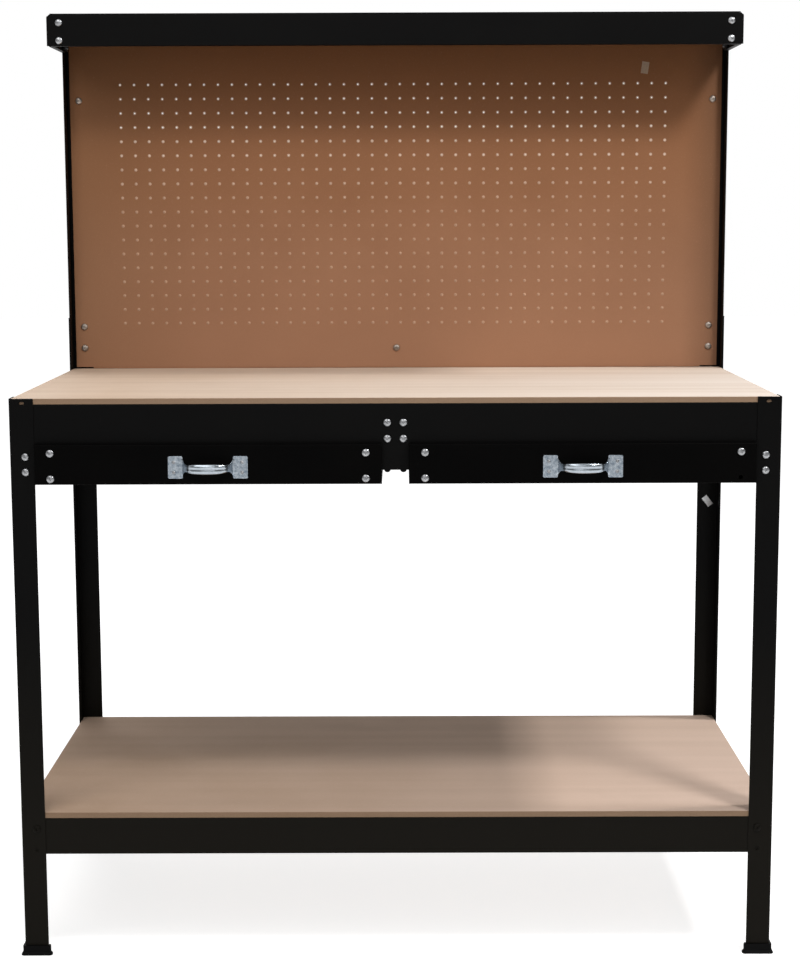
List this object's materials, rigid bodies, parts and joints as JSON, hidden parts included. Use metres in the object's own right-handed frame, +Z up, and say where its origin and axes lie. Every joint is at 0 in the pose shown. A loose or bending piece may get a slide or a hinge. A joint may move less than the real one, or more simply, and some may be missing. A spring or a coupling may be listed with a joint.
{
  "type": "workbench",
  "caption": "Bolted steel workbench with a board top, a lower shelf, drawers that slide out under the top, and a perforated back board under a shallow canopy.",
  "frame": {"origin": "middle of the bottom of the whole bench's box: on the floor, halfway between its ends, and halfway between the front of the handles and the ends of the rearmost bolts", "axes": "+Z up, +X to the right of someone standing in front of the bench, +Y from its front to its back"},
  "size_m": [1.212, 0.6496, 1.525],
  "materials": {
    "black_steel": "satin black powder coat",
    "pale_board": "bare pale fibreboard, matt",
    "brown_hardboard": "bare brown hardboard, slightly smooth",
    "bright_zinc": "bright zinc plate",
    "bright_handle": "bright plated steel",
    "black_plastic": "moulded black plastic"
  },
  "bodies": {
    "bench": {"front_left_leg": "black_steel", "front_right_leg": "black_steel", "rear_left_leg": "black_steel", "rear_right_leg": "black_steel", "front_rail": "black_steel", "rear_rail": "black_steel", "left_side_rail": "black_steel", "right_side_rail": "black_steel", "left_outer_runner": "black_steel", "right_outer_runner": "black_steel", "centre_hanger": "black_steel", "shelf_front_beam": "black_steel", "shelf_rear_beam": "black_steel", "shelf_left_beam": "black_steel", "shelf_right_beam": "black_steel", "left_upright": "black_steel", "right_upright": "black_steel", "pegboard_clip": "black_steel", "canopy_front_beam": "black_steel", "canopy_left_panel": "black_steel", "canopy_right_panel": "black_steel", "canopy_top_panel": "black_steel", "shelf_bolts": "black_steel", "worktop": "pale_board", "lower_shelf": "pale_board", "pegboard": "brown_hardboard", "rail_bolts": "bright_zinc", "rail_nuts": "bright_zinc", "shelf_nuts": "bright_zinc", "hanger_bolts": "bright_zinc", "hanger_nuts": "bright_zinc", "canopy_bolts": "bright_zinc", "canopy_nuts": "bright_zinc", "pegboard_bolts": "bright_zinc", "pegboard_nuts": "bright_zinc", "worktop_screws": "bright_zinc", "shelf_screws": "bright_zinc", "front_left_shoe": "black_plastic", "front_right_shoe": "black_plastic", "rear_left_shoe": "black_plastic", "rear_right_shoe": "black_plastic"},
    "left_drawer": {"left_drawer_tray": "black_steel", "left_drawer_front": "black_steel", "left_drawer_bolts": "bright_zinc", "left_drawer_nuts": "bright_zinc", "left_drawer_rivets": "bright_zinc", "left_drawer_handle": "bright_handle"},
    "right_drawer": {"right_drawer_tray": "black_steel", "right_drawer_front": "black_steel", "right_drawer_bolts": "bright_zinc", "right_drawer_nuts": "bright_zinc", "right_drawer_rivets": "bright_zinc", "right_drawer_handle": "bright_handle"}
  },
  "joints": [
    {"name": "left_drawer_slide", "type": "slide", "parent": "bench", "child": "left_drawer", "axis": [0, -1, 0], "range_m": [0, 0.33]},
    {"name": "right_drawer_slide", "type": "slide", "parent": "bench", "child": "right_drawer", "axis": [0, -1, 0], "range_m": [0, 0.33]}
  ]
}
